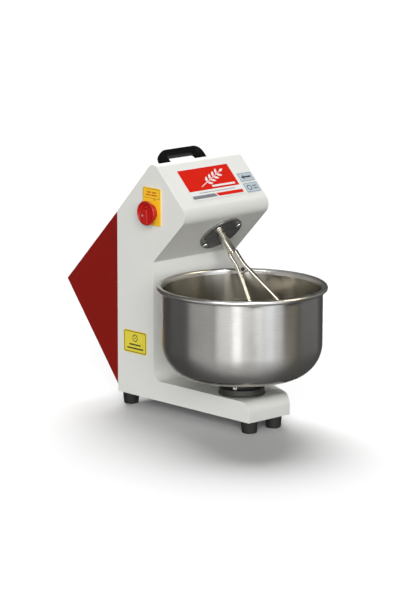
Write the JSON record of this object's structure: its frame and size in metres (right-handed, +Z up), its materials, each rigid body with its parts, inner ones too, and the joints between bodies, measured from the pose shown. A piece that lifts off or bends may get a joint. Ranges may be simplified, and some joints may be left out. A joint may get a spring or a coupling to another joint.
{
  "type": "fork dough mixer",
  "caption": "Tabletop fork dough mixer: folded white body with a wedge rear cover, slanted fork arm, free-turning steel bowl on a low leg.",
  "frame": {"origin": "on the floor, under the middle of the machine's bounding box", "axes": "+Z up, -Y towards the bowl and front end, +X to the machine's right seen from behind the rear cover"},
  "size_m": [0.4119, 0.7479, 0.6176],
  "materials": {
    "body_paint": "satin warm-white powder coat",
    "cover_paint": "satin deep-red powder coat",
    "stainless": "spun and brushed stainless steel",
    "bright_steel": "bright zinc-plated steel",
    "bearing_steel": "ground bearing steel",
    "dark_steel": "dark machined steel",
    "castings": "machined grey cast iron",
    "foot_rubber": "matt black rubber",
    "belt_rubber": "black belt rubber",
    "handle_plastic": "glossy black plastic",
    "black_plastic": "matt black plastic",
    "motor_paint": "blue-grey motor enamel",
    "switch_yellow": "satin signal yellow",
    "switch_red": "moulded signal red",
    "label_red": "printed film label in red, white and grey",
    "sticker_pale": "printed film, pale blue-grey",
    "sticker_yellow": "printed film, yellow with a dark border"
  },
  "bodies": {
    "machine": {"side_panel_left": "body_paint", "side_panel_right": "body_paint", "leg_side_panel": "body_paint", "head_skin": "body_paint", "column_skin": "body_paint", "deck_skin": "body_paint", "base_plate": "body_paint", "rear_cover": "cover_paint", "cover_screw_left": "bright_steel", "cover_screw_right": "bright_steel", "handle_screw_left": "bright_steel", "handle_screw_right": "bright_steel", "flange_bolt_1": "bright_steel", "flange_bolt_2": "bright_steel", "flange_bolt_3": "bright_steel", "flange_bolt_4": "bright_steel", "bowl_bearing_lower": "bearing_steel", "bowl_bearing_upper": "bearing_steel", "arm_bearing_front": "bearing_steel", "arm_bearing_rear": "bearing_steel", "layshaft_bearing_lower": "bearing_steel", "layshaft_bearing_upper": "bearing_steel", "arm_flange": "dark_steel", "drive_plate": "dark_steel", "bowl_pedestal": "castings", "arm_housing": "castings", "layshaft_housing": "castings", "foot_front_left": "foot_rubber", "foot_front_right": "foot_rubber", "foot_rear_left": "foot_rubber", "foot_rear_right": "foot_rubber", "lower_belt": "belt_rubber", "upper_belt": "belt_rubber", "carry_handle": "handle_plastic", "switch_body": "black_plastic", "motor_fan_cowl": "black_plastic", "motor_body": "motor_paint", "switch_plate": "switch_yellow", "front_label": "label_red", "rotation_sticker": "sticker_pale", "rating_sticker": "sticker_pale", "caution_sticker": "sticker_yellow"},
    "mixing_arm": {"arm_shaft": "stainless", "mixing_fork": "stainless", "fork_bolt": "dark_steel", "arm_pulley": "castings"},
    "layshaft": {"layshaft": "bright_steel", "layshaft_small_pulley": "castings", "layshaft_large_pulley": "castings"},
    "motor_rotor": {"motor_shaft": "bright_steel", "motor_pulley": "castings"},
    "bowl": {"bowl": "stainless", "bowl_plate": "dark_steel", "bowl_bolt_1": "bright_steel", "bowl_bolt_2": "bright_steel", "bowl_bolt_3": "bright_steel", "plate_set_screw": "bright_steel", "bowl_spindle": "bright_steel"},
    "switch_knob": {"switch_knob": "switch_red", "switch_spindle": "bright_steel"}
  },
  "joints": [
    {"name": "arm_spin", "type": "hinge", "parent": "machine", "child": "mixing_arm", "pos_m": [0.094, 0.00521, 0.42129], "axis": [0, -0.7071, -0.7071], "continuous": true},
    {"name": "layshaft_spin", "type": "hinge", "parent": "machine", "child": "layshaft", "pos_m": [0.094, 0.09713, 0.32937], "axis": [0, -0.7071, -0.7071], "continuous": true},
    {"name": "motor_spin", "type": "hinge", "parent": "machine", "child": "motor_rotor", "pos_m": [0.094, 0.19613, 0.23037], "axis": [0, -0.7071, -0.7071], "continuous": true},
    {"name": "bowl_spin", "type": "hinge", "parent": "machine", "child": "bowl", "pos_m": [-0.006, -0.1745, 0], "axis": [0, 0, 1], "continuous": true},
    {"name": "switch_turn", "type": "hinge", "parent": "machine", "child": "switch_knob", "pos_m": [-0.068, 0.066, 0.482], "axis": [1, 0, 0], "range_deg": [0, 90]}
  ],
  "couplings": [
    {"joint": "layshaft_spin", "follows": "arm_spin", "ratio": 3.4091},
    {"joint": "motor_spin", "follows": "arm_spin", "ratio": 11.364}
  ]
}
